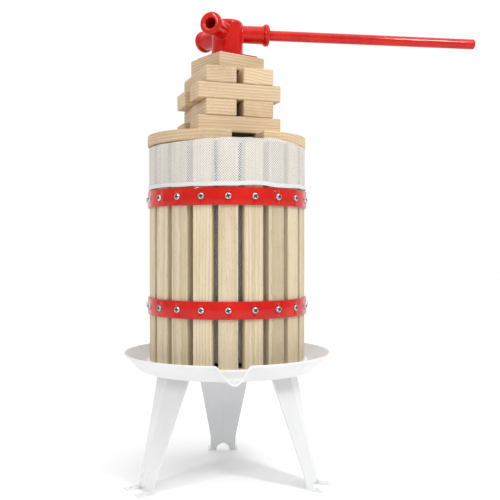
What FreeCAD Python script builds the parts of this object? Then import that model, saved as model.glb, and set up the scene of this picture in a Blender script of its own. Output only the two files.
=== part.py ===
import FreeCAD, Part
import math
import os
import re

import Sketcher
from FreeCAD import Placement, Rotation, Vector

# Basket wine press, in millimetres. The origin is on the floor, on the spindle's axis.
# +Z is up, the juice spout points along -Y and the lever lies close to +X.

SIZES = [
    ("spindle_radius", 9, "trapezoidal screw, outside of the thread"),
    ("spindle_top", 832, "upper end of the screw, inside the press head"),
    ("spindle_foot", 188, "lower end of the screw, under its nut"),
    ("spindle_nose", 3, "tapered upper end of the screw"),
    ("spindle_play", 0.3, "holes round the screw, more than its radius"),
    ("collar_tall", 12, "collar of the screw on the platform"),
    ("washer_thick", 3, "washer under the platform"),
    ("nut_tall", 15, "nut under the platform"),
    ("overcut", 1, "cutting tools run past a face by this much"),
    ("sheet_thick", 2, "pressed steel sheet of the tray"),
    ("rim_radius", 190, "outside of the tray's rim"),
    ("rim_height", 229.6, "top of the tray's rim"),
    ("wall_foot_radius", 160, "where the tray's sloping wall meets the juice channel"),
    ("channel_height", 198, "underside of the juice channel"),
    ("platform_radius", 149, "raised platform that carries the basket"),
    ("platform_height", 216.6, "top of the raised platform"),
    ("spout_radius", 22, "inside of the spout's half-round trough"),
    ("spout_reach", 213, "tip of the spout from the axis"),
    ("leg_thick", 3, "steel sheet of the legs"),
    ("leg_foot_reach", 180, "crease of a leg at the floor, from the axis"),
    ("leg_top_reach", 118, "crease of a leg under the platform, from the axis"),
    ("leg_foot_width", 51, "width of a leg at its foot"),
    ("leg_top_width", 118, "width of a leg under the platform"),
    ("leg_ankle", 30, "height of a leg's parallel stretch"),
    ("leg_fold", 9, "depth of a leg's shallow V"),
    ("flange_reach", 84, "bolts of a leg's top flange, from the axis"),
    ("bolt_spacing", 40, "between the two bolts of one flange"),
    ("bolt_radius", 3, "flange bolts"),
    ("leg_nut_tall", 5, "nuts of the flange bolts"),
    ("bolt_tail", 9, "thread of a flange bolt below the flange"),
    ("bolt_head", 3.2, "height of a flange bolt's head"),
    ("foot_hole_radius", 2.5, "screw holes in the feet"),
    ("foot_hole_spacing", 44, "between the two holes of one foot"),
    ("foot_hole_reach", 186, "foot holes from the axis"),
    ("tab_width", 16, "drilled tab of a foot"),
    ("tab_end", 10, "a foot's tab beyond its hole"),
    ("flange_back", 14, "a leg's flange inwards of its bolts"),
    ("flange_side", 12, "a leg's flange beside its bolts"),
    ("hole_play", 0.2, "bolt holes, more than the bolt's radius"),
    ("stave_width", 33.5, "one stave of the basket"),
    ("stave_thick", 17, "one stave of the basket"),
    ("stave_top", 600, "upper end of the staves"),
    ("stave_face", 141.5, "outer face of a stave from the axis"),
    ("stave_ease", 1.5, "eased edges of the staves"),
    ("hoop_inner", 142.9, "inside of a hoop"),
    ("hoop_thick", 3, "flat steel of the hoops"),
    ("hoop_width", 30, "height of a hoop"),
    ("lower_hoop", 300, "underside of the lower hoop"),
    ("upper_hoop", 491.5, "underside of the upper hoop"),
    ("lap_half_angle", 6.5, "half of the overlap of a hoop's ends, degrees"),
    ("screw_shank", 2, "radius of a hoop screw's shank"),
    ("screw_head", 5.5, "radius of a hoop screw's pan head"),
    ("screw_rise", 3.4, "height of a hoop screw's pan head"),
    ("screw_reach", 12, "depth of a hoop screw behind its head"),
    ("bag_inner", 122.6, "inside of the straining bag"),
    ("bag_thick", 1.4, "straining bag with its folds"),
    ("bag_floor", 222, "underside of the straining bag"),
    ("bag_cuff_inner", 143.4, "inside of the cuff folded over the staves"),
    ("bag_cuff_foot", 523, "lower edge of the cuff"),
    ("bag_lift", 0.4, "fold of the bag above the staves"),
    ("bag_hole", 22, "hole in the bag's floor round the screw"),
    ("board_radius", 118, "half-round press boards"),
    ("board_thick", 20, "half-round press boards"),
    ("board_shift", 28.5, "each board pulled out from the axis"),
    ("spindle_notch", 14, "half-round notches for the screw"),
    ("block_length", 153, "hardwood blocks"),
    ("block_width", 56, "hardwood blocks"),
    ("block_height", 29, "hardwood blocks"),
    ("block_ease", 2.5, "eased edges of boards and blocks"),
    ("wide_gap", 39, "between the two blocks of an outer layer"),
    ("narrow_gap", 13, "between the two blocks of an inner layer"),
    ("top_block_side", 98, "square block on top of the stack"),
    ("plate_side", 80, "pressure plate"),
    ("plate_thick", 4, "pressure plate"),
    ("plate_ease", 1.5, "rounded corners of the pressure plate"),
    ("hub_radius", 29, "hub of the press head"),
    ("hub_tall", 66, "hub of the press head"),
    ("hub_crown", 7, "rounded upper edge of the hub"),
    ("hub_bore", 9.06, "bore of the hub round the screw"),
    ("socket_rise", 44, "socket axes above the hub's underside"),
    ("socket_reach", 78, "mouth of a socket from the axis"),
    ("socket_bore", 9.6, "bore of a socket"),
    ("socket_floor", 24, "blind end of a socket from the axis"),
    ("socket_root", 12, "start of a socket's tube, inside the hub"),
    ("socket_outer", 15.5, "outside of a socket's tube"),
    ("socket_flare", 1.2, "a socket's tube widens by this much"),
    ("bead_radius", 20.5, "bead round a socket's mouth"),
    ("bead_width", 11, "bead round a socket's mouth"),
    ("lever_radius", 9.5, "lever tube"),
    ("lever_wall", 2.5, "lever tube"),
    ("lever_end", 479, "outer end of the lever tube from the axis"),
    ("plug_depth", 14, "plug inside the lever tube"),
    ("plug_cap", 4, "domed cap of the plug"),
    ("plug_round", 3, "rounding of the cap"),
]

STAVES = 20
STAVE_STEP = 360.0 / STAVES
FIRST_STAVE = -92.5
LAP_CENTRE = FIRST_STAVE + 10.5 * STAVE_STEP
LEG_ANGLES = {"leg_left": 210, "leg_right": 330, "leg_rear": 90}
STACK_TURN = 14.5
TOP_TURN = 31.2
LEVER_TURN = 4.0
SOCKET_STEP = 120
UP = Vector(0, 0, 1)

doc = FreeCAD.newDocument("BasketPress")
sheet = doc.addObject("Spreadsheet::Sheet", "Sizes")
subparts = []


def fill_sheet():
    """One row of the sheet for each driving dimension: name, value and note."""
    for row, (word, number, note) in enumerate(SIZES, start=1):
        sheet.set("A%d" % row, word)
        sheet.set("B%d" % row, str(number))
        sheet.set("C%d" % row, note)
        sheet.setAlias("B%d" % row, word)
    doc.recompute()


WORDS = re.compile(r"\b(%s)\b" % "|".join(word for word, number, note in SIZES))


def full(text):
    """An expression written with the sheet's words, as the document needs it."""
    return WORDS.sub(r"Sizes.\1", str(text))


def value(text):
    """The present value of such an expression."""
    return float(sheet.evalExpression(full(text)))


def bind(item, **bound):
    for prop, text in bound.items():
        item.setExpression(prop, full(text))


def place(item, at=("0", "0", "0"), turn=0.0, axis=UP):
    """Stands an item at a bound place, turned about an axis."""
    item.Placement = Placement(Vector(*[value(c) for c in at]), Rotation(axis, turn))
    for letter, text in zip("xyz", at):
        item.setExpression("Placement.Base." + letter, full(text))


def primitive(kind, name, at=("0", "0", "0"), turn=0.0, axis=UP, **bound):
    item = doc.addObject("Part::" + kind, name)
    bind(item, **bound)
    place(item, at, turn, axis)
    return item


def cylinder(name, radius, low, high, x="0", y="0"):
    """Upright cylinder between two heights."""
    tall = "(%s) - (%s)" % (high, low)
    return primitive("Cylinder", name, (x, y, low), Radius=radius, Height=tall)


def block(name, length, width, low, tall, turn=0.0, across="0", along="0"):
    """Upright box centred on a point of a frame that is turned about the axis."""
    c = repr(math.cos(math.radians(turn)))
    s = repr(math.sin(math.radians(turn)))
    u = "((%s) - (%s) / 2)" % (along, length)
    v = "((%s) - (%s) / 2)" % (across, width)
    at = ("%s * %s - %s * %s" % (u, c, v, s), "%s * %s + %s * %s" % (u, s, v, c), low)
    return primitive("Box", name, at, turn, Length=length, Width=width, Height=tall)


def radial(name, radius, start, end, height, turn):
    """Cylinder that lies along a radius of the press."""
    c = repr(math.cos(math.radians(turn)))
    s = repr(math.sin(math.radians(turn)))
    item = doc.addObject("Part::Cylinder", name)
    bind(item, Radius=radius, Height="(%s) - (%s)" % (end, start))
    place(item, ("(%s) * %s" % (start, c), "(%s) * %s" % (start, s), height))
    item.Placement.Rotation = Rotation(UP, turn) * Rotation(Vector(0, 1, 0), 90)
    return item


def cut(name, base, tool):
    item = doc.addObject("Part::Cut", name)
    item.Base = base
    item.Tool = tool
    return item


def cut_all(name, base, tools):
    return cut(name, base, join(name + "_tools", tools))


def join(name, shapes):
    item = doc.addObject("Part::MultiFuse", name)
    item.Shapes = shapes
    return item


def group(name, shapes):
    """Separate solids that share one node."""
    item = doc.addObject("Part::Compound", name)
    item.Links = shapes
    return item


def rounded(name, base, radius, wanted):
    """Rounds the edges that a test picks out."""
    doc.recompute()
    item = doc.addObject("Part::Fillet", name)
    item.Base = base
    size = value(radius)
    picks = [i for i, e in enumerate(base.Shape.Edges, start=1) if wanted(e)]
    item.Edges = [(i, size, size) for i in picks]
    return item


def every_edge(edge):
    return True


def subpart(item, label):
    """Names a finished sub-part after its node."""
    item.Label = label
    subparts.append(item)
    return item


def plane(body, role):
    return next(p for p in body.Origin.OriginFeatures if p.Role == role)


def outline(body, role, corners, lift="0"):
    """Closed sketch with straight sides, each corner tied to the sheet."""
    sketch = body.newObject("Sketcher::SketchObject", body.Name + "_outline")
    sketch.AttachmentSupport = [(plane(body, role), "")]
    sketch.MapMode = "FlatFace"
    sketch.setExpression("AttachmentOffset.Base.z", full(lift))
    points = [Vector(value(u), value(v), 0) for u, v in corners]
    count = len(points)
    for i, point in enumerate(points):
        sketch.addGeometry(Part.LineSegment(point, points[(i + 1) % count]), False)
    for i in range(count):
        sketch.addConstraint(Sketcher.Constraint("Coincident", i, 2, (i + 1) % count, 1))
    for i, (u, v) in enumerate(corners):
        for kind, text, number in (("DistanceX", u, points[i].x), ("DistanceY", v, points[i].y)):
            row = sketch.addConstraint(Sketcher.Constraint(kind, -1, 1, i, 1, number))
            sketch.setExpression("Constraints[%d]" % row, full(text))
    return sketch


def turned(name, corners):
    """Body turned about the press's axis from a radius and height outline."""
    body = doc.addObject("PartDesign::Body", name)
    sketch = outline(body, "XZ_Plane", corners)
    turn = body.newObject("PartDesign::Revolution", name + "_turn")
    turn.Profile = sketch
    turn.ReferenceAxis = (sketch, ["V_Axis"])
    turn.Angle = 360
    body.Tip = turn
    return body


def around(radius, angle):
    """A place on a circle round the axis, as two bound texts."""
    c = repr(math.cos(math.radians(angle)))
    s = repr(math.sin(math.radians(angle)))
    return "(%s) * %s" % (radius, c), "(%s) * %s" % (radius, s)


def leg_bolt_spots():
    """Bolt places of the three flanges."""
    for angle in LEG_ANGLES.values():
        for side in (-0.5, 0.5):
            out = around("flange_reach", angle)
            sideways = around("bolt_spacing * %s" % side, angle + 90)
            yield "%s + %s" % (out[0], sideways[0]), "%s + %s" % (out[1], sideways[1])


def make_tray():
    """Pressed dish with a juice channel, a raised platform and a spout."""
    floor_top = "channel_height + sheet_thick"
    dish = turned("tray_dish", [
        ("spindle_radius + spindle_play", "platform_height"),
        ("platform_radius - 3", "platform_height"),
        ("platform_radius", "platform_height - 2.5"),
        ("platform_radius + 1.5", floor_top),
        ("wall_foot_radius - 1", floor_top),
        ("wall_foot_radius + 6", "channel_height + 6"),
        ("rim_radius - 4.5", "rim_height - 1.6"),
        ("rim_radius - 2.6", "rim_height"),
        ("rim_radius - 0.6", "rim_height"),
        ("rim_radius", "rim_height - 1.2"),
        ("rim_radius - 1.8", "rim_height - 3.2"),
        ("wall_foot_radius + 7.8", "channel_height + 4.2"),
        ("wall_foot_radius", "channel_height"),
        ("platform_radius - 0.7", "channel_height"),
        ("platform_radius - 2.2", "platform_height - sheet_thick"),
        ("spindle_radius + spindle_play", "platform_height - sheet_thick"),
    ])
    hollow = turned("tray_hollow", [
        ("0", floor_top),
        ("wall_foot_radius - 1", floor_top),
        ("wall_foot_radius + 6", "channel_height + 6"),
        ("rim_radius - 4.5", "rim_height - 1.6"),
        ("rim_radius - 2.6", "rim_height"),
        ("rim_radius - 2.6", "rim_height + 10"),
        ("0", "rim_height + 10"),
    ])
    outer = radial("spout_outer", "spout_radius + sheet_thick", "140", "spout_reach", "rim_height", -90)
    half = primitive("Box", "spout_half", ("-40", "-spout_reach - 5", "rim_height"),
                     Length="80", Width="100", Height="40")
    tip = primitive("Box", "spout_tip_cut", ("-40", "-rim_radius + 8", "rim_height + 12"),
                    135, Vector(1, 0, 0), Length="80", Width="60", Height="90")
    shell = cut_all("spout_shell", outer, [half, tip, hollow])
    solid_tray = join("tray_solid", [dish, shell])
    trough = radial("spout_trough", "spout_radius", "platform_radius + 4", "spout_reach + 20",
                    "rim_height", -90)
    holes = [cylinder("tray_bolt_hole", "bolt_radius + hole_play", "platform_height - sheet_thick - overcut",
                      "platform_height + overcut", x, y) for x, y in leg_bolt_spots()]
    subpart(cut_all("tray", solid_tray, [trough] + holes), "tray")


def leg_section(body, width, reach, lift):
    """Shallow V of sheet, with its crease outwards."""
    half = "(%s) / 2" % width
    corners = [
        ("(%s) - leg_fold" % reach, "-" + half),
        (reach, "0"),
        ("(%s) - leg_fold" % reach, half),
        ("(%s) - leg_fold - leg_thick" % reach, half),
        ("(%s) - leg_thick" % reach, "0"),
        ("(%s) - leg_fold - leg_thick" % reach, "-" + half),
    ]
    return outline(body, "XY_Plane", corners, lift)


def make_leg(label, angle):
    """Folded sheet leg with a top flange and two drilled foot tabs."""
    top = "platform_height - sheet_thick"
    lean = "(leg_foot_reach - leg_top_reach) / (%s)" % top
    body = doc.addObject("PartDesign::Body", label + "_blade")
    foot = leg_section(body, "leg_foot_width", "leg_foot_reach", "0")
    ankle = leg_section(body, "leg_foot_width", "leg_foot_reach - leg_ankle * %s" % lean, "leg_ankle")
    head = leg_section(body, "leg_top_width", "leg_top_reach", top)
    loft = body.newObject("PartDesign::AdditiveLoft", label + "_loft")
    loft.Profile = foot
    loft.Sections = [ankle, head]
    loft.Ruled = True
    body.Tip = loft
    flange_at = ("flange_reach - flange_back", "-bolt_spacing / 2 - flange_side", top + " - leg_thick")
    flange = primitive("Box", label + "_flange", flange_at,
                       Length="leg_top_reach - leg_fold + leg_thick - flange_reach + flange_back",
                       Width="bolt_spacing + 2 * flange_side", Height="leg_thick")
    tabs = [primitive("Box", label + "_tab",
                      ("leg_foot_reach - leg_fold - leg_thick",
                       "%s * foot_hole_spacing / 2 - tab_width / 2" % side, "0"),
                      Length="foot_hole_reach + tab_end - leg_foot_reach + leg_fold + leg_thick",
                      Width="tab_width", Height="leg_thick") for side in (-1, 1)]
    plate = join(label + "_plate", [body, flange] + tabs)
    arch = primitive("Cylinder", label + "_arch", ("leg_foot_reach - 40", "0", "0"), 90,
                     Vector(0, 1, 0), Radius="(foot_hole_spacing - tab_width) / 2 - hole_play", Height="60")
    holes = [cylinder(label + "_foot_hole", "foot_hole_radius", "-overcut", "leg_thick + overcut",
                      "foot_hole_reach", "%s * foot_hole_spacing / 2" % side) for side in (-1, 1)]
    holes += [cylinder(label + "_bolt_hole", "bolt_radius + hole_play", top + " - leg_thick - overcut",
                       top + " + overcut", "flange_reach", "%s * bolt_spacing / 2" % side)
              for side in (-1, 1)]
    leg = cut_all(label, plate, [arch] + holes)
    leg.Placement = Placement(Vector(), Rotation(UP, angle))
    subpart(leg, label)


def make_leg_fixings():
    """Low round-head bolts through the platform, with hexagon nuts below."""
    seat = "platform_height - sheet_thick - leg_thick"
    bolts = []
    nuts = []
    for x, y in leg_bolt_spots():
        shank = cylinder("leg_bolt_shank", "bolt_radius", seat + " - bolt_tail",
                         "platform_height + bolt_head / 2", x, y)
        head = primitive("Cone", "leg_bolt_head", (x, y, "platform_height"),
                         Radius1="bolt_radius * 2.1", Radius2="bolt_radius * 1.3", Height="bolt_head")
        bolts.append(join("leg_bolt", [shank, head]))
        nut = primitive("Prism", "leg_nut_hexagon", (x, y, seat + " - leg_nut_tall"),
                        Circumradius="bolt_radius * 1.95", Height="leg_nut_tall")
        nut.Polygon = 6
        bore = cylinder("leg_nut_bore", "bolt_radius + 0.02", seat + " - leg_nut_tall - overcut",
                        seat + " + overcut", x, y)
        nuts.append(cut("leg_nut", nut, bore))
    subpart(group("leg_bolts", bolts), "leg_bolts")
    subpart(group("leg_nuts", nuts), "leg_nuts")


def make_spindle():
    """Screw of the press, clamped to the platform between a collar and a nut."""
    rod = cylinder("spindle_rod", "spindle_radius", "spindle_foot", "spindle_top - spindle_nose")
    nose = primitive("Cone", "spindle_nose", ("0", "0", "spindle_top - spindle_nose"),
                     Radius1="spindle_radius", Radius2="spindle_radius * 0.72", Height="spindle_nose")
    subpart(join("spindle", [rod, nose]), "spindle")
    ring = cylinder("collar_ring", "spindle_radius * 2.1", "platform_height", "platform_height + collar_tall")
    bore = cylinder("collar_bore", "spindle_radius", "platform_height - overcut",
                    "platform_height + collar_tall + overcut")
    subpart(cut("spindle_collar", ring, bore), "spindle_collar")
    seat = "platform_height - sheet_thick"
    washer = cylinder("washer_disc", "spindle_radius * 2.2", seat + " - washer_thick", seat)
    washer_bore = cylinder("washer_bore", "spindle_radius + spindle_play",
                           seat + " - washer_thick - overcut", seat + " + overcut")
    subpart(cut("spindle_washer", washer, washer_bore), "spindle_washer")
    nut_seat = seat + " - washer_thick"
    nut = primitive("Prism", "base_hexagon", ("0", "0", nut_seat + " - nut_tall"),
                    Circumradius="spindle_radius * 1.75", Height="nut_tall")
    nut.Polygon = 6
    nut_bore = cylinder("base_bore", "spindle_radius", nut_seat + " - nut_tall - overcut",
                        nut_seat + " + overcut")
    subpart(cut("spindle_nut", nut, nut_bore), "spindle_nut")


def hoop_middles():
    return "lower_hoop + hoop_width / 2", "upper_hoop + hoop_width / 2"


def upright_edge(edge):
    return abs(edge.tangentAt(edge.FirstParameter).z) > 0.99


def make_staves():
    """Upright slats with gaps between them, drilled for the hoop screws."""
    for index in range(STAVES):
        angle = FIRST_STAVE + index * STAVE_STEP
        name = "stave_%02d" % (index + 1)
        blank = primitive("Box", name + "_blank",
                          ("stave_face - stave_thick", "-stave_width / 2", "platform_height"),
                          Length="stave_thick", Width="stave_width",
                          Height="stave_top - platform_height")
        eased = rounded(name + "_eased", blank, "stave_ease", upright_edge)
        holes = [radial(name + "_hole", "screw_shank + 0.05", "hoop_inner - screw_reach - overcut",
                        "hoop_inner + 5", height, 0) for height in hoop_middles()]
        stave = cut_all(name, eased, holes)
        stave.Placement = Placement(Vector(), Rotation(UP, angle))
        subpart(stave, name)


def lap_rivet_spots():
    """Angles of the two rivets that close a hoop."""
    return [LAP_CENTRE + side * value("lap_half_angle") * 0.5 for side in (-1, 1)]


def make_hoop(label, foot):
    """Flat steel ring whose ends overlap and are riveted between two staves."""
    outer = "hoop_inner + hoop_thick"
    top = foot + " + hoop_width"
    middle = foot + " + hoop_width / 2"
    ring = cut(label + "_ring", cylinder(label + "_disc", outer, foot, top),
               cylinder(label + "_core", "hoop_inner", foot + " - overcut", top + " + overcut"))
    start = LAP_CENTRE - value("lap_half_angle")
    lap_outer = primitive("Cylinder", label + "_lap_disc", ("0", "0", foot), start,
                          Radius=outer + " + hoop_thick", Height="hoop_width",
                          Angle="2 * lap_half_angle")
    lap = cut(label + "_lap", lap_outer,
              cylinder(label + "_lap_core", "hoop_inner + 0.5", foot + " - overcut", top + " + overcut"))
    blank = join(label + "_blank", [ring, lap])
    holes = [radial(label + "_screw_hole", "screw_shank + 0.3", "hoop_inner - 5", "hoop_inner + 12",
                    middle, FIRST_STAVE + i * STAVE_STEP) for i in range(STAVES)]
    holes += [radial(label + "_rivet_hole", "screw_shank + 0.5", "hoop_inner - 5", "hoop_inner + 12",
                     middle, angle) for angle in lap_rivet_spots()]
    subpart(cut_all(label, blank, holes), label)


def pan_head(name, radius, rise, seat, height, angle):
    """Low domed head that stands on a curved face."""
    head = radial(name, radius, seat, "(%s) + %s" % (seat, rise), height, angle)
    limit = value(seat) + value(rise) * 0.5

    def crown(edge):
        centre = edge.CenterOfMass
        return math.hypot(centre.x, centre.y) > limit and edge.Closed

    return rounded(name + "_round", head, "(%s) * 0.62" % rise, crown)


def make_hoop_screws(label, height):
    """One pan-head screw through the hoop into each stave."""
    seat = "hoop_inner + hoop_thick"
    screws = []
    for index in range(STAVES):
        angle = FIRST_STAVE + index * STAVE_STEP
        head = pan_head(label + "_head", "screw_head", "screw_rise", seat, height, angle)
        shank = radial(label + "_shank", "screw_shank", "hoop_inner - screw_reach", seat + " + 1",
                       height, angle)
        screws.append(join(label + "_screw", [head, shank]))
    subpart(group(label, screws), label)


def make_hoop_rivets():
    """Two rivets through each lapped joint."""
    seat = "hoop_inner + 2 * hoop_thick"
    rivets = []
    for height in hoop_middles():
        for angle in lap_rivet_spots():
            head = pan_head("rivet_head", "screw_shank * 2", "2", seat, height, angle)
            shank = radial("rivet_shank", "screw_shank + 0.4", "hoop_inner", seat + " + 1", height, angle)
            rivets.append(join("rivet", [head, shank]))
    subpart(group("hoop_rivets", rivets), "hoop_rivets")


def make_bag():
    """Straining bag: floor, wall inside the staves, and a cuff folded over them."""
    fold_foot = "stave_top + bag_lift"
    fold_top = fold_foot + " + bag_thick"
    bag = turned("mesh_bag", [
        ("bag_hole", "bag_floor"),
        ("bag_inner + bag_thick", "bag_floor"),
        ("bag_inner + bag_thick", fold_foot),
        ("bag_cuff_inner", fold_foot),
        ("bag_cuff_inner", "bag_cuff_foot"),
        ("bag_cuff_inner + bag_thick", "bag_cuff_foot"),
        ("bag_cuff_inner + bag_thick", fold_top),
        ("bag_inner", fold_top),
        ("bag_inner", "bag_floor + bag_thick"),
        ("bag_hole", "bag_floor + bag_thick"),
    ])
    subpart(bag, "mesh_bag")


def spindle_clearance(name, low, tall):
    """Tool for the opening that a board or block leaves for the screw."""
    return cylinder(name, "spindle_notch", low + " - overcut", low + " + " + tall + " + overcut")


def make_boards():
    """Two half-round boards, drawn apart and lying on the folded bag."""
    low = "stave_top + bag_lift + bag_thick"
    for label, side in (("press_board_left", -1), ("press_board_right", 1)):
        blank = primitive("Cylinder", label + "_blank", ("0", "0", low), -90 if side > 0 else 90,
                          Radius="board_radius", Height="board_thick", Angle="180")
        eased = rounded(label + "_eased", blank, "block_ease", every_edge)
        board = cut(label, eased, spindle_clearance(label + "_notch", low, "board_thick"))
        c = repr(side * math.cos(math.radians(STACK_TURN)))
        s = repr(side * math.sin(math.radians(STACK_TURN)))
        place(board, ("board_shift * " + c, "board_shift * " + s, "0"), STACK_TURN)
        subpart(board, label)


def layer_foot(layer):
    """Underside of a layer of blocks, counted from the boards up."""
    return "stave_top + bag_lift + bag_thick + board_thick + %d * block_height" % layer


def make_blocks():
    """Four layers of two blocks, each layer square to the one below it."""
    for layer in range(4):
        wide = layer % 2 == 0
        turn = STACK_TURN if wide else STACK_TURN + 90
        gap = "wide_gap" if wide else "narrow_gap"
        for side, word in ((-1, "front" if wide else "right"), (1, "rear" if wide else "left")):
            label = "block_%d_%s" % (layer + 1, word)
            blank = block(label + "_blank", "block_length", "block_width", layer_foot(layer),
                          "block_height", turn, "%d * (%s + block_width) / 2" % (side, gap))
            eased = rounded(label + "_eased", blank, "block_ease", every_edge)
            if wide:
                subpart(eased, label)
            else:
                notch = spindle_clearance(label + "_notch", layer_foot(layer), "block_height")
                subpart(cut(label, eased, notch), label)


def make_top_block():
    """Square drilled block that spreads the load of the pressure plate."""
    low = layer_foot(4)
    blank = block("top_block_blank", "top_block_side", "top_block_side", low, "block_height", TOP_TURN)
    eased = rounded("top_block_eased", blank, "block_ease", every_edge)
    subpart(cut("top_block", eased, spindle_clearance("top_block_hole", low, "block_height")), "top_block")


def make_plate():
    """Square steel plate under the press head."""
    low = layer_foot(5)
    blank = block("plate_blank", "plate_side", "plate_side", low, "plate_thick", TOP_TURN)
    eased = rounded("plate_eased", blank, "plate_ease", upright_edge)
    bore = cylinder("plate_bore", "spindle_radius * 1.1", low + " - overcut",
                    low + " + plate_thick + overcut")
    subpart(cut("pressure_plate", eased, bore), "pressure_plate")


def hub_foot():
    return layer_foot(5) + " + plate_thick"


def socket_height():
    return hub_foot() + " + socket_rise"


def make_socket(index):
    """Tapered tube with a rounded bead round its mouth."""
    angle = LEVER_TURN + index * SOCKET_STEP
    name = "socket_%d" % (index + 1)
    start = around("socket_root", angle)
    tube = primitive("Cone", name + "_tube", (start[0], start[1], socket_height()),
                     Radius1="socket_outer", Radius2="socket_outer + socket_flare",
                     Height="socket_reach - bead_width / 2 - socket_root")
    tube.Placement.Rotation = Rotation(UP, angle) * Rotation(Vector(0, 1, 0), 90)
    bead = radial(name + "_bead", "bead_radius", "socket_reach - bead_width", "socket_reach",
                  socket_height(), angle)
    least = 2 * math.pi * value("socket_outer + socket_flare")
    ring = rounded(name + "_ring", bead, "bead_width * 0.42", lambda e: e.Closed and e.Length > least)
    return [tube, ring]


def make_head():
    """Cast press head: a screwed hub with three lever sockets."""
    hub = cylinder("hub_blank", "hub_radius", hub_foot(), hub_foot() + " + hub_tall")
    top = value(hub_foot()) + value("hub_tall")
    crown = rounded("hub_crown", hub, "hub_crown", lambda e: e.Closed and abs(e.CenterOfMass.z - top) < 1)
    pieces = [crown]
    bores = [cylinder("hub_thread", "hub_bore", hub_foot() + " - overcut",
                      hub_foot() + " + hub_tall + overcut")]
    for index in range(3):
        pieces += make_socket(index)
        bores.append(radial("socket_bore_%d" % (index + 1), "socket_bore", "socket_floor",
                            "socket_reach + 5", socket_height(), LEVER_TURN + index * SOCKET_STEP))
    subpart(cut_all("press_head", join("head_casting", pieces), bores), "press_head")


def make_lever():
    """Steel tube pushed into one socket, with a domed plug in its outer end."""
    tube = radial("lever_tube", "lever_radius", "socket_floor + 1", "lever_end", socket_height(), LEVER_TURN)
    core = radial("lever_core", "lever_radius - lever_wall", "socket_floor", "lever_end + overcut",
                  socket_height(), LEVER_TURN)
    subpart(cut("lever", tube, core), "lever")
    plug = radial("plug_stem", "lever_radius - lever_wall - 0.05", "lever_end - plug_depth", "lever_end + 1",
                  socket_height(), LEVER_TURN)
    cap = radial("plug_cap", "lever_radius", "lever_end", "lever_end + plug_cap", socket_height(),
                 LEVER_TURN)
    reach = value("lever_end + plug_cap") - 1
    dome = rounded("plug_dome", cap, "plug_round",
                   lambda e: e.Closed and math.hypot(e.CenterOfMass.x, e.CenterOfMass.y) > reach)
    subpart(join("lever_plug", [plug, dome]), "lever_plug")


def make_press():
    make_tray()
    for label, angle in LEG_ANGLES.items():
        make_leg(label, angle)
    make_leg_fixings()
    make_spindle()
    make_staves()
    for label, foot in (("hoop_lower", "lower_hoop"), ("hoop_upper", "upper_hoop")):
        make_hoop(label, foot)
        make_hoop_screws(label.replace("hoop", "hoop_screws"), foot + " + hoop_width / 2")
    make_hoop_rivets()
    make_bag()
    make_boards()
    make_blocks()
    make_top_block()
    make_plate()
    make_head()
    make_lever()


def faults():
    """Objects that failed to compute, and sub-parts without a sound shape."""
    bad = [o.Name for o in doc.Objects if {"Invalid", "Error"} & set(o.State)]
    for item in subparts:
        if item.Shape.isNull() or not item.Shape.isValid() or not item.Shape.Solids:
            bad.append(item.Label + " has no sound shape")
    return bad


def write_parts():
    os.makedirs("parts", exist_ok=True)
    for item in subparts:
        item.Shape.exportStep("parts/%s.step" % item.Label)


fill_sheet()
make_press()
doc.recompute()
problems = faults()
if problems:
    raise SystemExit("not written: " + ", ".join(problems))
write_parts()
print("%d sub-parts written" % len(subparts))
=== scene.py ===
"""Looks of the basket wine press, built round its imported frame. Lengths are in metres."""

import math

import bmesh
import bpy
from mathutils import Matrix, Vector, noise


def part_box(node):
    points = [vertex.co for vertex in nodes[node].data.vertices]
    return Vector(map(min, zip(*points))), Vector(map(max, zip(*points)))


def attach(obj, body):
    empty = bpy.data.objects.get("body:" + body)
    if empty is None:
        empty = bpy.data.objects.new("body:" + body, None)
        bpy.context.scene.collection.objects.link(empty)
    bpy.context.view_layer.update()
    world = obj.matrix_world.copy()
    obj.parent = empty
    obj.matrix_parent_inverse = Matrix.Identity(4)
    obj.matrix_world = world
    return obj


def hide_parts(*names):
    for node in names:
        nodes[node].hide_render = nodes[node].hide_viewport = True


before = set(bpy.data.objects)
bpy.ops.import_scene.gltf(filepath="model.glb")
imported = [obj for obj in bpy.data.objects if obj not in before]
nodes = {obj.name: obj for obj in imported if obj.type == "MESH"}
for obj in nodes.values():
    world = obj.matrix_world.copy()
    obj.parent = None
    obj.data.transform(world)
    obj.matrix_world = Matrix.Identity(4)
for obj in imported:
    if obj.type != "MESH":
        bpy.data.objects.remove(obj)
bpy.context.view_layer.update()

STAVE_NAMES = sorted(name for name in nodes if name.startswith("stave_"))
STAVE_STEP = math.tau / len(STAVE_NAMES)
FIRST_STAVE = math.radians(-92.5)
STACK_TURN = math.radians(14.5)
TOP_TURN = math.radians(31.2)

BAG_LOW, BAG_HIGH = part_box("mesh_bag")
HALF_SHELL = 0.0007
BAG_FLOOR = BAG_LOW[2] + HALF_SHELL
BAG_FOLD = BAG_HIGH[2] - HALF_SHELL
BAG_REACH = BAG_HIGH[0] - HALF_SHELL
RIM_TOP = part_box(STAVE_NAMES[0])[1][2]
HOOP_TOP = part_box("hoop_upper")[1][2]


# ---------------------------------------------------------------- materials


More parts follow.
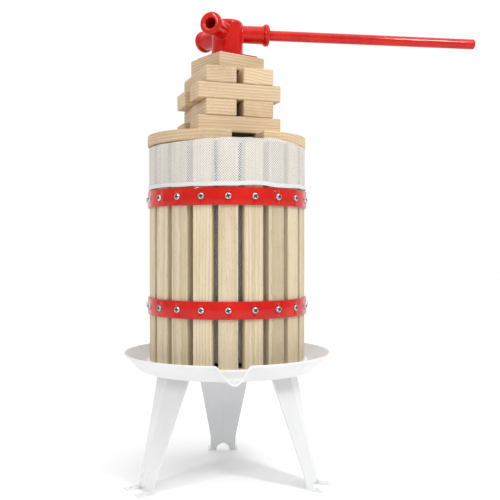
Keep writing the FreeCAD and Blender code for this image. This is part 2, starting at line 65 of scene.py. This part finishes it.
class Shader:
    """One material's node tree, with short calls for the nodes it uses."""

    def __init__(self, name):
        self.material = bpy.data.materials.new(name)
        self.material.use_nodes = True
        self.tree = self.material.node_tree
        self.surface = self.tree.nodes["Principled BSDF"]

    def put(self, socket, value):
        """Sets an input to a number, or links it to another node's output."""
        if isinstance(value, bpy.types.NodeSocket):
            self.tree.links.new(value, socket)
        else:
            socket.default_value = value

    def node(self, kind, inputs=None, **settings):
        made = self.tree.nodes.new("ShaderNode" + kind)
        for key, value in settings.items():
            setattr(made, key, value)
        for key, value in (inputs or {}).items():
            self.put(made.inputs[key], value)
        return made

    def shade(self, **inputs):
        """Sets the shader's own inputs; an underscore stands for a space."""
        for key, value in inputs.items():
            self.put(self.surface.inputs[key.replace("_", " ")], value)

    def place(self):
        return self.node("TexCoord").outputs["Object"]

    def mapped(self, vector, shift=(0, 0, 0), turn=(0, 0, 0), scale=(1, 1, 1)):
        inputs = {"Vector": vector, "Location": shift, "Rotation": turn, "Scale": scale}
        return self.node("Mapping", inputs).outputs[0]

    def noise(self, vector, scale, detail=3.0, rough=0.5):
        inputs = {"Vector": vector, "Scale": scale, "Detail": detail, "Roughness": rough}
        return self.node("TexNoise", inputs).outputs["Fac"]

    def noise_colour(self, vector, scale, detail=2.0):
        inputs = {"Vector": vector, "Scale": scale, "Detail": detail}
        return self.node("TexNoise", inputs).outputs["Color"]

    def sum(self, one, other):
        return self.math("ADD", one, other)

    def math(self, operation, one, other=0.0):
        return self.node("Math", {0: one, 1: other}, operation=operation).outputs[0]

    def vector(self, operation, one, other):
        return self.node("VectorMath", {0: one, 1: other}, operation=operation).outputs[0]

    def spread(self, value, low, high, to_low, to_high):
        """Maps a stretch of values onto another, and holds it there."""
        inputs = {"Value": value, "From Min": low, "From Max": high, "To Min": to_low, "To Max": to_high}
        return self.node("MapRange", inputs).outputs[0]

    def mix(self, share, one, other):
        """Blends two colours, each a triple or another node's output."""
        made = self.node("Mix", data_type="RGBA")
        self.put(made.inputs[0], share)
        self.put(made.inputs[6], one if not isinstance(one, tuple) else (*one, 1.0))
        self.put(made.inputs[7], other if not isinstance(other, tuple) else (*other, 1.0))
        return made.outputs[2]

    def bump(self, height, strength, distance, under=None):
        made = self.node("Bump", {"Height": height, "Strength": strength, "Distance": distance})
        if under is not None:
            self.put(made.inputs["Normal"], under)
        return made.outputs[0]


STAVE_TIMBER = ((0.680, 0.590, 0.430), (0.490, 0.390, 0.240), (0.260, 0.170, 0.090))
BLOCK_TIMBER = ((0.720, 0.560, 0.375), (0.480, 0.330, 0.185), (0.240, 0.145, 0.070))


def wood(name, timber, turn, tip, heart, seed, tone):
    """Planed bare timber, cut from its own place in the tree.

    turn is the piece's turn about Z, tip lays its length along Z, and heart shifts it off the tree's middle.
    """
    s = Shader(name)
    faced = s.mapped(s.place(), turn=(0, 0, -turn))
    along = s.mapped(faced, shift=heart, turn=tip)
    slow = s.mapped(along, shift=(seed * 0.37, seed * 0.71, seed * 0.53), scale=(9, 9, 1.1))
    drift = s.vector("SUBTRACT", s.noise_colour(slow, 1.0), (0.5, 0.5, 0.5))
    warped = s.vector("ADD", along, s.vector("MULTIPLY", drift, (0.016, 0.016, 0.0)))
    rings = s.node("TexWave", {"Vector": warped, "Scale": 58.0, "Distortion": 1.6, "Detail": 2.0,
                               "Detail Scale": 0.6}, wave_type="RINGS", rings_direction="Z",
                   wave_profile="SAW").outputs["Fac"]
    streaks = s.noise(s.mapped(along, shift=(seed, 0, seed), scale=(640, 640, 9)), 1.0, 4.0, 0.62)
    fibres = s.noise(s.mapped(along, shift=(0, seed, 0), scale=(2300, 2300, 46)), 1.0, 2.0, 0.5)
    flecks = s.noise(s.mapped(along, shift=(seed, seed, 0), scale=(900, 900, 150)), 1.0, 1.0, 0.4)
    patches = s.noise(s.mapped(along, shift=(0, 0, seed), scale=(22, 22, 5)), 1.0, 3.0, 0.6)
    pale, warm, dark = (tuple(c * tone for c in colour) for colour in timber)
    colour = s.mix(s.spread(rings, 0.20, 1.0, 0.0, 0.80), pale, warm)
    colour = s.mix(s.spread(streaks, 0.42, 0.72, 0.0, 0.62), colour, warm)
    colour = s.mix(s.spread(patches, 0.48, 0.70, 0.0, 0.62), colour, warm)
    colour = s.mix(s.spread(flecks, 0.66, 0.78, 0.0, 0.60), colour, dark)
    colour = s.mix(s.spread(fibres, 0.35, 0.70, 0.0, 0.16), colour, dark)
    height = s.sum(s.math("MULTIPLY", fibres, 0.7), s.math("MULTIPLY", streaks, 0.6))
    height = s.math("SUBTRACT", height, s.spread(flecks, 0.66, 0.78, 0.0, 0.5))
    s.shade(Base_Color=colour, Roughness=s.spread(streaks, 0.3, 0.8, 0.50, 0.72),
            Normal=s.bump(height, 0.45, 0.0004), Specular_IOR_Level=0.35)
    return s.material


def red_enamel(name, casting):
    """Thick glossy red paint; over a casting the skin is uneven."""
    s = Shader(name)
    place = s.place()
    slow = s.noise(place, 26.0, 3.0, 0.55)
    peel = s.noise(place, 520.0, 2.0, 0.5)
    specks = s.noise(place, 1500.0, 1.0, 0.4)
    deep, bright = (0.44, 0.003, 0.001), (0.58, 0.008, 0.002)
    colour = s.mix(s.spread(slow, 0.3, 0.7, 0.0, 1.0), deep, bright)
    worn = s.spread(s.node("NewGeometry").outputs["Pointiness"], 0.54, 0.62, 0.0, 0.16)
    scuffs = s.spread(s.noise(place, 210.0, 4.0, 0.7), 0.52, 0.66, 0.0, 1.0)
    colour = s.mix(s.math("MULTIPLY", worn, scuffs), colour, (0.80, 0.10, 0.07))
    colour = s.mix(s.spread(specks, 0.72, 0.80, 0.0, 0.35), colour, (0.16, 0.0, 0.0))
    normal = s.bump(slow, 0.5 if casting else 0.12, 0.0016 if casting else 0.0006)
    normal = s.bump(peel, 0.16, 0.0003, normal)
    s.shade(Base_Color=colour, Roughness=s.spread(slow, 0.3, 0.7, 0.16, 0.28), Normal=normal,
            Coat_Weight=0.55, Coat_Roughness=0.03, Specular_IOR_Level=0.05)
    return s.material


def white_enamel(name):
    """White powder coat with a fine orange peel and a few dull marks."""
    s = Shader(name)
    place = s.place()
    peel = s.noise(place, 620.0, 3.0, 0.55)
    cloud = s.noise(place, 9.0, 4.0, 0.6)
    marks = s.noise(s.mapped(place, scale=(60, 60, 14)), 1.0, 5.0, 0.7)
    colour = s.mix(s.spread(cloud, 0.35, 0.7, 0.0, 1.0), (0.75, 0.75, 0.755), (0.69, 0.695, 0.705))
    colour = s.mix(s.spread(marks, 0.64, 0.78, 0.0, 0.25), colour, (0.60, 0.59, 0.57))
    normal = s.bump(peel, 0.18, 0.0004)
    s.shade(Base_Color=colour, Roughness=s.spread(cloud, 0.3, 0.75, 0.26, 0.42), Normal=normal,
            Coat_Weight=0.25, Coat_Roughness=0.18)
    return s.material


def steel(name, pale, dark, rough):
    """Plated or bare steel with fine drawn lines and cloudy patches."""
    s = Shader(name)
    place = s.place()
    cloud = s.noise(place, 160.0, 4.0, 0.6)
    lines = s.noise(s.mapped(place, scale=(500, 500, 2600)), 1.0, 2.0, 0.5)
    colour = s.mix(s.spread(cloud, 0.35, 0.7, 0.0, 1.0), pale, dark)
    s.shade(Base_Color=colour, Metallic=1.0, Roughness=s.spread(cloud, 0.3, 0.7, rough, rough + 0.16),
            Normal=s.bump(lines, 0.12, 0.0002))
    return s.material


def net(name, pitch, slack, strand, turn_over, solid_edge):
    """White knitted net, with a hole wherever neither slant has a strand.

    The strands are slack wide inside the basket and strand wide past turn_over, where the bag folds out.
    Past turn_over the holes are open. Inside the basket they are painted dark, a stand-in for the shade
    behind the net. A solid_edge has hardly any hole, as in a sewn band."""
    s = Shader(name)
    flat = s.node("UVMap", uv_map="flat").outputs[0]
    wander = s.vector("SUBTRACT", s.noise_colour(flat, 90.0), (0.5, 0.5, 0.5))
    flat = s.vector("ADD", flat, s.vector("MULTIPLY", wander, (0.0011, 0.0011, 0.0)))
    parts = s.node("SeparateXYZ", {0: flat})
    across = s.math("MULTIPLY", parts.outputs[0], 1.0 / pitch)
    along = s.math("MULTIPLY", parts.outputs[1], 0.82 / pitch)
    reach = s.spread(parts.outputs[1], turn_over - 0.004, turn_over, slack, strand)
    low, high = s.math("SUBTRACT", reach, 0.045), s.math("ADD", reach, 0.045)
    shares = []
    for slant in (s.math("ADD", across, along), s.math("SUBTRACT", across, along)):
        wave = s.math("PINGPONG", slant, 0.5)
        shares.append(s.spread(wave, low, high, 1.0, 0.0))
    cloth = s.math("MAXIMUM", shares[0], shares[1])
    light, shade = (0.88, 0.88, 0.875), (0.76, 0.76, 0.755)
    if solid_edge:
        cloth = s.math("MAXIMUM", cloth, 0.80)
        light, shade = (0.78, 0.78, 0.775), (0.60, 0.60, 0.60)
    inside = s.spread(parts.outputs[1], turn_over - 0.002, turn_over, 1.0, 0.0)
    hollow = s.math("MULTIPLY", inside, s.math("SUBTRACT", 1.0, cloth))
    fuzz = s.noise(flat, 2600.0, 3.0, 0.6)
    soil = s.noise(s.place(), 14.0, 4.0, 0.6)
    colour = s.mix(s.spread(fuzz, 0.3, 0.7, 0.0, 1.0), light, shade)
    colour = s.mix(s.spread(soil, 0.48, 0.75, 0.0, 0.30), colour, (0.70, 0.66, 0.60))
    colour = s.mix(hollow, colour, (0.060, 0.050, 0.042))
    height = s.sum(cloth, s.math("MULTIPLY", fuzz, 0.3))
    s.shade(Base_Color=colour, Roughness=0.72, Normal=s.bump(height, 0.5, 0.0005),
            Alpha=s.math("MAXIMUM", cloth, inside),
            Sheen_Weight=0.25, Specular_IOR_Level=0.3)
    return s.material


def floor_paper(name):
    """Pale studio floor."""
    s = Shader(name)
    grain = s.noise(s.place(), 90.0, 4.0, 0.6)
    colour = s.mix(s.spread(grain, 0.3, 0.7, 0.0, 1.0), (0.97, 0.97, 0.97), (0.96, 0.96, 0.96))
    s.shade(Base_Color=colour, Roughness=0.7, Normal=s.bump(grain, 0.05, 0.0004))
    return s.material


WHITE = white_enamel("white_powder_coat")
RED_CAST = red_enamel("red_enamel_casting", True)
RED_FLAT = red_enamel("red_enamel_flat", False)
# Near-black steel laid into the screws' cross recesses: painted shade, since the recess is the same zinc as
# the head.
RECESS_PAINTED_SHADE = steel("screw_recess_painted_shade", (0.10, 0.10, 0.10), (0.03, 0.03, 0.03), 0.45)
ZINC = steel("zinc_plate", (0.66, 0.66, 0.66), (0.40, 0.40, 0.42), 0.20)
DARK_STEEL = steel("oiled_steel", (0.30, 0.28, 0.26), (0.10, 0.09, 0.085), 0.32)


# ---------------------------------------------------------------- mesh helpers


def add(name, mesh, body, slot, material, *stands_for):
    """A new piece: on its body, with its material, for the nodes it stands for; slot is not used."""
    piece = bpy.data.objects.new(name, mesh)
    bpy.context.scene.collection.objects.link(piece)
    mesh.materials.clear()
    mesh.materials.append(material)
    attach(piece, body)
    if stands_for:
        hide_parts(*stands_for)
    return piece


def smooth(mesh, angle=None):
    """Shades a mesh smooth, but keeps edges sharper than the angle."""
    for face in mesh.polygons:
        face.use_smooth = True
    if angle is not None:
        mesh.set_sharp_from_angle(angle=math.radians(angle))


def woven(name, rows, closed, flat=None):
    """Mesh through rows of points. closed joins each row's end to its start.

    flat gives each point's place on the cut cloth, from its row and column."""
    wide = len(rows[0])
    verts = [point for row in rows for point in row]
    faces = []
    for r in range(len(rows) - 1):
        for c in range(wide if closed else wide - 1):
            n = (c + 1) % wide
            faces.append((r * wide + c, r * wide + n, (r + 1) * wide + n, (r + 1) * wide + c))
    mesh = bpy.data.meshes.new(name)
    mesh.from_pydata(verts, [], faces)
    if flat:
        layer = mesh.uv_layers.new(name="flat")
        columns = wide if closed else wide - 1
        for index, face in enumerate(mesh.polygons):
            r, c = divmod(index, columns)
            corners = ((r, c), (r, c + 1), (r + 1, c + 1), (r + 1, c))
            for loop, (row, column) in zip(face.loop_indices, corners):
                layer.data[loop].uv = flat(row, column)
    mesh.update()
    return mesh


def ring_row(radius_at, height_at, count):
    """A row of points round the axis, from a radius and a height for each angle."""
    row = []
    for c in range(count):
        angle = c * math.tau / count
        radius = radius_at(angle)
        row.append((radius * math.cos(angle), radius * math.sin(angle), height_at(angle)))
    return row


def applied(piece):
    """Makes a piece's modifiers part of its mesh."""
    shaped = piece.evaluated_get(bpy.context.evaluated_depsgraph_get())
    mesh = bpy.data.meshes.new_from_object(shaped)
    piece.modifiers.clear()
    piece.data = mesh
    return mesh


def modifier(piece, kind, **settings):
    made = piece.modifiers.new(kind.lower(), kind)
    for key, value in settings.items():
        setattr(made, key, value)
    return made


def between(low, high, share):
    return low + (high - low) * share


def eased(value):
    """Smooth step from 0 to 1."""
    value = min(1.0, max(0.0, value))
    return value * value * (3 - 2 * value)


def finish_cad(name, material, ease=None):
    """A carried-over CAD piece with its own material, and softened edges where they are sharp."""
    piece = nodes[name]
    for index in range(max(1, len(piece.material_slots))):
        if piece.material_slots:
            piece.material_slots[index].material = material
        else:
            piece.data.materials.append(material)
    if ease:
        modifier(piece, "WELD", merge_threshold=0.00001)
        modifier(piece, "BEVEL", width=ease, segments=2, limit_method="ANGLE",
                 angle_limit=math.radians(35), harden_normals=False)


# ---------------------------------------------------------------- wooden pieces


def finish_staves():
    """Every stave is cut from its own place in the tree."""
    for index, name in enumerate(STAVE_NAMES):
        turn = FIRST_STAVE + index * STAVE_STEP
        tone = 1.0 + 0.09 * math.sin(index * 2.4) + 0.04 * math.sin(index * 5.3)
        heart = (-0.10 - 0.045 * math.sin(index * 1.7), 0.030 * math.sin(index * 3.1), 0.0)
        finish_cad(name, wood("wood_" + name, STAVE_TIMBER, turn, (0, 0, 0), heart, 3.1 + index * 1.37, tone))


def finish_blocks():
    """Boards and blocks carry their grain along their length."""
    lay = (0, math.radians(90), 0)
    names = sorted(name for name in nodes if name.startswith(("block_", "press_board", "top_block")))
    for index, name in enumerate(names):
        crossed = name.startswith(("block_2", "block_4", "press_board"))
        turn = STACK_TURN + (math.pi / 2 if crossed else 0.0)
        if name == "top_block":
            turn = TOP_TURN
        low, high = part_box(name)
        middle = (low[2] + high[2]) / 2
        heart = (middle - 0.035 - 0.03 * math.sin(index * 2.1), 0.035 * math.sin(index * 1.3), 0.0)
        tone = 1.0 + 0.08 * math.sin(index * 2.9 + 0.6)
        finish_cad(name, wood("wood_" + name, BLOCK_TIMBER, turn, lay, heart, 40.0 + index * 1.91, tone))


# ---------------------------------------------------------------- tray

TRAY_AROUND = 540
TRAY_SHEET = 0.0019
SPOUT_HALF_TURN = math.radians(9.4)
SPOUT_FULLNESS = 1.04


def tray_paths():
    """The pressed sheet's upper side from the middle outwards: shared, then to the rim or through the lip."""
    low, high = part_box("tray")
    floor = low[2] + 0.002
    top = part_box(STAVE_NAMES[0])[0][2]
    rim, edge, tip = high[2], high[0], -low[1]
    shared = [(0.0094, top), (0.060, top), (0.120, top), (0.1445, top), (0.1475, top - 0.0007),
              (0.1492, top - 0.0030), (0.1503, floor + 0.0040), (0.1518, floor + 0.0010), (0.1540, floor)]
    wall = [(0.1575, floor + 0.0002), (0.1615, floor + 0.0018), (0.1650, floor + 0.0052),
            (0.1720, floor + 0.0128), (0.1790, floor + 0.0204), (edge - 0.0048, rim - 0.0022),
            (edge - 0.0030, rim - 0.0003), (edge - 0.0014, rim), (edge - 0.0002, rim - 0.0014),
            (edge - 0.0008, rim - 0.0032)]
    spout = [(0.1600, floor + 0.0001), (0.1680, floor + 0.0003), (0.1760, floor + 0.0007),
             (0.1850, floor + 0.0013), (0.1940, floor + 0.0021), (tip - 0.0080, floor + 0.0034),
             (tip - 0.0040, floor + 0.0040), (tip - 0.0016, floor + 0.0036),
             (tip - 0.0004, floor + 0.0022), (tip - 0.0010, floor + 0.0004)]
    return shared, wall, spout


def resampled(path, steps):
    """More points on a path, rounded where it bends."""
    out = []
    count = len(path)
    for i in range(count - 1):
        a, b, c, d = (path[min(max(k, 0), count - 1)] for k in (i - 1, i, i + 1, i + 2))
        for step in range(steps):
            t = step / steps
            out.append(tuple(
                0.5 * (2 * b[k] + (c[k] - a[k]) * t + (2 * a[k] - 5 * b[k] + 4 * c[k] - d[k]) * t * t
                       + (3 * b[k] - a[k] - 3 * c[k] + d[k]) * t ** 3) for k in (0, 1)))
    out.append(path[-1])
    return out


def spout_share(angle):
    """How far a place on the rim is drawn into the pouring lip."""
    off = abs((angle + math.pi / 2 + math.pi) % math.tau - math.pi)
    return eased(SPOUT_FULLNESS * (1 - off / SPOUT_HALF_TURN))


def make_tray():
    """Pressed steel dish with a juice channel, a rolled rim and a drawn pouring lip."""
    shared, wall, spout = tray_paths()
    steps = 3
    plain = resampled(shared + wall, steps)
    drawn = resampled(shared + spout, steps)
    rows = []
    for (r0, z0), (r1, z1) in zip(plain, drawn):
        rows.append(ring_row(lambda a: between(r0, r1, spout_share(a)),
                             lambda a: between(z0, z1, spout_share(a)), TRAY_AROUND))
    mesh = woven("tray_sheet", rows, True)
    piece = add("tray_sheet", mesh, "root", "white_enamel", WHITE, "tray")
    modifier(piece, "SOLIDIFY", thickness=TRAY_SHEET, offset=1.0, use_even_offset=True)
    smooth(applied(piece), 60)


# ---------------------------------------------------------------- screw and head


def make_spindle():
    """Trapezoidal thread, cut as one helix from end to end."""
    low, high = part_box("spindle")
    radius = high[0]
    pitch, depth = 0.004, 0.0019
    around, per_turn = 28, 10
    rows = []
    for r in range(int((high[2] - low[2]) / pitch * per_turn)):
        height = low[2] + r * pitch / per_turn
        fade = eased((high[2] - height) / 0.004) * 0.5 + 0.5

        def reach(angle, height=height, fade=fade):
            wave = ((height / pitch - angle / math.tau) % 1.0) * 2
            ridge = eased((abs(wave - 1) - 0.34) * 4.2)
            return (radius - depth * (1 - ridge)) * fade

        rows.append(ring_row(reach, lambda a, height=height: height, around))
    rows.append([(0, 0, rows[-1][0][2] + 0.0002)] * around)
    mesh = woven("spindle_thread", rows, True)
    smooth(mesh, 50)
    add("spindle_thread", mesh, "root", "dark_steel", DARK_STEEL, "spindle")


def make_head():
    """The casting, with the run-together corners that a casting has."""
    piece = add("press_head_casting", nodes["press_head"].data.copy(), "head", "red_enamel",
                RED_CAST, "press_head")
    modifier(piece, "WELD", merge_threshold=0.00001)
    modifier(piece, "REMESH", mode="VOXEL", voxel_size=0.0011)
    modifier(piece, "SMOOTH", factor=0.6, iterations=9)
    mesh = applied(piece)
    mesh.materials.clear()
    mesh.materials.append(RED_CAST)
    smooth(mesh)


# ---------------------------------------------------------------- hoop screws


def screw_head_mesh():
    """Pan head with a cross recess, standing on its seat and facing +X."""
    radius, rise, seat, sides = 0.0055, 0.0034, -0.001, 28
    slot_deep, slot_long, slot_wide, slot_turn = 0.0056, 0.0076, 0.0023, 20
    profile = [(0.0, radius), (rise * 0.34, radius), (rise * 0.60, radius * 0.95),
               (rise * 0.82, radius * 0.80), (rise * 0.95, radius * 0.52), (rise, radius * 0.2)]
    angles = [c * math.tau / sides for c in range(sides)]
    rows = [[(out, r * math.cos(a), r * math.sin(a)) for a in angles]
            for out, r in [(seat, 0.0), (seat, radius)] + profile + [(rise, 0.0)]]
    head = bpy.data.objects.new("head_form", woven("head_form", rows, True))
    tool = bmesh.new()
    for turn in (0, 90):
        size = Matrix.Diagonal((slot_deep, slot_long, slot_wide, 1.0))
        leaned = Matrix.Rotation(math.radians(turn + slot_turn), 4, "X")
        spot = Matrix.Translation((rise + 0.0002, 0, 0)) @ leaned
        bmesh.ops.create_cube(tool, size=1.0, matrix=spot @ size)
    cross_mesh = bpy.data.meshes.new("cross_form")
    tool.to_mesh(cross_mesh)
    tool.free()
    cross = bpy.data.objects.new("cross_form", cross_mesh)
    for item in (head, cross):
        bpy.context.scene.collection.objects.link(item)
    modifier(head, "WELD", merge_threshold=0.00001)
    modifier(head, "BOOLEAN", operation="DIFFERENCE", object=cross, solver="EXACT", use_self=True)
    mesh = applied(head)
    # Faces down in the cross recess take the second material, which paints the shade in the recess.
    for face in mesh.polygons:
        out, aside, up = face.center
        in_shaded_recess = 0.0 < out < rise * 0.82 and math.hypot(aside, up) < radius * 0.72
        face.material_index = 1 if in_shaded_recess else 0
    bpy.data.objects.remove(head)
    bpy.data.objects.remove(cross)
    return mesh


def make_screws():
    """One screw through the hoop into each stave."""
    form = screw_head_mesh()
    for level in ("lower", "upper"):
        hoop_low, hoop_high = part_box("hoop_" + level)
        seat = hoop_high[0]
        height = (hoop_low[2] + hoop_high[2]) / 2
        whole = bmesh.new()
        for index in range(len(STAVE_NAMES)):
            turn = FIRST_STAVE + index * STAVE_STEP
            drift = Matrix.Rotation(index * 1.9, 4, "X")
            spot = Matrix.Rotation(turn, 4, "Z") @ Matrix.Translation((seat, 0, height)) @ drift
            one = form.copy()
            one.transform(spot)
            whole.from_mesh(one)
            bpy.data.meshes.remove(one)
        mesh = bpy.data.meshes.new("hoop_screw_heads_" + level)
        whole.to_mesh(mesh)
        whole.free()
        smooth(mesh, 32)
        recess_shade_slots = [face.material_index for face in mesh.polygons]
        add("hoop_screw_heads_" + level, mesh, "root", "zinc_steel", ZINC, "hoop_screws_" + level)
        # The second material paints the shade in each cross recess.
        mesh.materials.append(RECESS_PAINTED_SHADE)
        mesh.polygons.foreach_set("material_index", recess_shade_slots)


# ---------------------------------------------------------------- straining bag

BAG_AROUND = 480
BAG_WALL = 0.1234
FLOOR_HOLE = 0.0222
FLOOR_SHARES = (0.0, 0.15, 0.35, 0.55, 0.75, 0.9)
WALL_STEPS = 40
FOLD_SHARES = (0.0, 0.12, 0.3, 0.5, 0.65, 0.8, 0.9, 0.96, 1.0)
CUFF_STEPS = 22
FOLD_ROW = len(FLOOR_SHARES) + 1 + WALL_STEPS + 1
HEM_TALL = 0.0075
HEM_DROP = 0.0012
HEM_SIDES = 16
BOARD_RADIUS = 0.118
BOARD_SHIFT = 0.0285


def gap_share(angle):
    """0 in the middle of a stave, 1 in the middle of a gap."""
    place = ((angle - FIRST_STAVE) / STAVE_STEP) % 1.0
    depth = 1 - 2 * abs(place - 0.5)
    return eased(1.6 * depth - 0.6)


def wander(angle, height, scale, seed):
    """Smooth random value on the bag, from about -1 to 1."""
    spot = Vector((math.cos(angle) * scale, math.sin(angle) * scale, height * scale * 6 + seed))
    return noise.noise(spot) * 1.8


def cuff_reach(angle, height):
    """The cuff hangs from the rim, a little fuller towards its hem."""
    hang = (RIM_TOP - height) / (RIM_TOP - HOOP_TOP)
    fold_wave = 0.0010 * wander(angle, height * 0.25, 3.4, 5.0) + 0.0006 * wander(angle, height, 7.0, 9.0)
    flare = 0.0030 * hang ** 2 * max(0.0, wander(angle, 0.0, 1.6, 21.0) + 0.25)
    return BAG_REACH - 0.0004 + hang * fold_wave + flare - 0.0007 * gap_share(angle) * (1 - hang)


def cuff_foot(angle):
    """Height of the cuff's lower edge, which hangs unevenly just above the hoop."""
    return HOOP_TOP + 0.0022 + 0.0030 * max(0.0, wander(angle, 0.0, 2.2, 33.0) + 0.4)


def board_reach(angle):
    """How far the press boards cover the rim in a direction."""
    along = abs(math.cos(angle - STACK_TURN))
    aside = math.sin(angle - STACK_TURN)
    return BOARD_SHIFT * along + math.sqrt(BOARD_RADIUS ** 2 - (BOARD_SHIFT * aside) ** 2)


def puff(angle, radius):
    """The fold stands up in soft waves where no board holds it down."""
    start = board_reach(angle) + 0.0015
    free = (radius - start) / (BAG_REACH - start)
    if free <= 0:
        return 0.0
    room = eased((BAG_REACH - start) / 0.021)
    waves = 0.80 + 0.36 * wander(angle, 0.0, 1.9, 51.0) + 0.12 * wander(angle, 0.0, 4.6, 57.0)
    return 0.0085 * room * waves * math.sin(math.pi * min(1.0, free * 0.62)) ** 0.8


def bag_rows():
    """Rows of the bag from the hole in its floor, up its wall, over the staves and down the cuff."""
    rim = RIM_TOP - 0.001
    rows = []
    for share in FLOOR_SHARES:
        radius = between(FLOOR_HOLE, 0.1190, share)
        rows.append(ring_row(
            lambda a: radius,
            lambda a: BAG_FLOOR + 0.0006 + 0.0012 * wander(a, 0.0, 2.0, share * 9), BAG_AROUND))
    rows.append(ring_row(lambda a: 0.1215, lambda a: BAG_FLOOR + 0.0008, BAG_AROUND))
    for step in range(WALL_STEPS + 1):
        height = between(BAG_FLOOR + 0.003, RIM_TOP - 0.004, step / WALL_STEPS)
        loose = 0.0011 * math.sin(math.pi * step / WALL_STEPS)
        rows.append(ring_row(
            lambda a: BAG_WALL - loose * (1 + wander(a, height * 0.3, 4.5, 3.0)) - 0.0004,
            lambda a: height, BAG_AROUND))
    for share in FOLD_SHARES:
        lift = math.sin(math.pi * share) ** 0.35 if 0 < share < 1 else 0.0
        radius = between(BAG_WALL, BAG_REACH - 0.0006, share)
        rows.append(ring_row(
            lambda a: radius,
            lambda a: (between(rim, BAG_FOLD, lift) - 0.0009 * lift * gap_share(a)
                       + puff(a, radius) * (1 - share ** 8)), BAG_AROUND))
    for step in range(1, CUFF_STEPS + 1):
        share = step / CUFF_STEPS
        rows.append(ring_row(
            lambda a: cuff_reach(a, between(rim, cuff_foot(a), share)),
            lambda a: between(rim, cuff_foot(a), share), BAG_AROUND))
    return rows


def travelled(rows):
    """Distance along the cloth to each row, measured on its first column."""
    out = [0.0]
    for one, other in zip(rows, rows[1:]):
        out.append(out[-1] + (Vector(one[0]) - Vector(other[0])).length)
    return out


def make_bag():
    """Net bag: one seamless tube of cloth gathered to a floor, its mouth folded down over the rim."""
    rows = bag_rows()
    along = travelled(rows)
    wide = math.tau * BAG_WALL
    mesh = woven("bag_cloth", rows, True, lambda r, c: (c * wide / BAG_AROUND, along[r]))
    smooth(mesh)
    cloth = net("bag_net_white", 0.0036, 0.125, 0.155, along[FOLD_ROW], False)
    bag = add("bag_cloth", mesh, "root", "bag_net", cloth, "mesh_bag")
    hem = make_hem(wide)


def make_hem(wide):
    """The cuff's sewn hem: a doubled band with rounded edges."""
    half = 0.0008
    section = []
    for step in range(HEM_SIDES):
        turn = step * math.tau / HEM_SIDES
        out = math.copysign(abs(math.cos(turn)) ** 0.6, math.cos(turn)) * half
        up = math.copysign(abs(math.sin(turn)) ** 0.35, math.sin(turn)) * HEM_TALL / 2
        section.append((out, up))
    rows = []
    for out, up in section + section[:1]:
        middle = HEM_TALL / 2 + up
        rows.append(ring_row(
            lambda a: cuff_reach(a, cuff_foot(a) + middle) + out + 0.0001 * wander(a, up, 60.0, 2.0),
            lambda a: cuff_foot(a) + middle - HEM_DROP, BAG_AROUND))
    mesh = woven("bag_hem", rows, True, lambda r, c: (c * wide / BAG_AROUND, r * 0.0012))
    smooth(mesh)
    return add("bag_hem", mesh, "root", "bag_net", net("bag_hem_white", 0.0012, 0.2, 0.2, 0.0, True))


# ---------------------------------------------------------------- studio


def area_light(name, spot, target, size, power):
    data = bpy.data.lights.new(name, "AREA")
    data.shape = "RECTANGLE"
    data.size, data.size_y = size
    data.energy = power
    lamp = bpy.data.objects.new(name, data)
    lamp.location = spot
    lamp.rotation_euler = (Vector(target) - Vector(spot)).to_track_quat("-Z", "Y").to_euler()
    bpy.context.scene.collection.objects.link(lamp)


def light_room(tree):
    """White wall behind the press, and a greyer room on the other sides."""
    sky = tree.nodes["Background"]
    sky.inputs["Color"].default_value = (1.0, 1.0, 1.0, 1.0)
    facing = tree.nodes.new("ShaderNodeSeparateXYZ")
    tree.links.new(tree.nodes.new("ShaderNodeTexCoord").outputs["Generated"], facing.inputs[0])
    wall = tree.nodes.new("ShaderNodeMapRange")
    wall.interpolation_type = "SMOOTHSTEP"
    for key, number in (("From Min", 0.25), ("From Max", 0.75), ("To Min", 0.60), ("To Max", 1.02)):
        wall.inputs[key].default_value = number
    tree.links.new(facing.outputs["Y"], wall.inputs["Value"])
    tree.links.new(wall.outputs[0], sky.inputs["Strength"])


def make_studio():
    """A pale floor, a lit room, two lamps and a soft light from above."""
    rows = [[(x, y, 0.0) for x in (-7.0, 7.0)] for y in (-5.0, 9.0)]
    paper = bpy.data.objects.new("studio_floor", woven("studio_floor", rows, False))
    paper.data.materials.append(floor_paper("studio_floor"))
    bpy.context.scene.collection.objects.link(paper)
    world = bpy.data.worlds.new("studio")
    world.use_nodes = True
    light_room(world.node_tree)
    bpy.context.scene.world = world
    middle = (0.0, 0.0, 0.45)
    area_light("key", (1.3, -1.6, 2.1), middle, (0.32, 0.42), 24)
    area_light("fill", (-1.7, -1.7, 1.9), middle, (0.16, 0.9), 15)
    overhead = bpy.data.lights.new("overhead", "SUN")
    overhead.energy = 1.25
    overhead.angle = math.radians(70)
    lamp = bpy.data.objects.new("overhead", overhead)
    lamp.rotation_euler = (math.radians(14), math.radians(10), 0.0)
    bpy.context.scene.collection.objects.link(lamp)
    bpy.context.scene.view_settings.view_transform = "Standard"


def make_camera():
    """Half-way up the press and a little left of the spout, looking almost level."""
    data = bpy.data.cameras.new("camera")
    data.lens = 55.4
    data.sensor_width = 36.0
    data.clip_start = 0.05
    camera = bpy.data.objects.new("camera", data)
    camera.location = (-0.0773, -1.4230, 0.4230)
    camera.rotation_euler = (math.radians(89.7), 0.0, math.radians(-4.8))
    bpy.context.scene.collection.objects.link(camera)
    bpy.context.scene.camera = camera


# ---------------------------------------------------------------- whole press

make_camera()
make_studio()
make_tray()
for leg in ("leg_left", "leg_right", "leg_rear"):
    finish_cad(leg, WHITE, 0.0007)
for hoop in ("hoop_lower", "hoop_upper"):
    finish_cad(hoop, RED_FLAT, 0.0004)
finish_cad("hoop_rivets", RED_FLAT)
finish_cad("pressure_plate", RED_FLAT, 0.0006)
finish_cad("lever", RED_FLAT)
finish_cad("lever_plug", RED_FLAT)
for fixing in ("leg_bolts", "leg_nuts", "spindle_nut", "spindle_washer", "spindle_collar"):
    finish_cad(fixing, ZINC, 0.0003)
finish_staves()
finish_blocks()
make_spindle()
make_head()
make_screws()
make_bag()
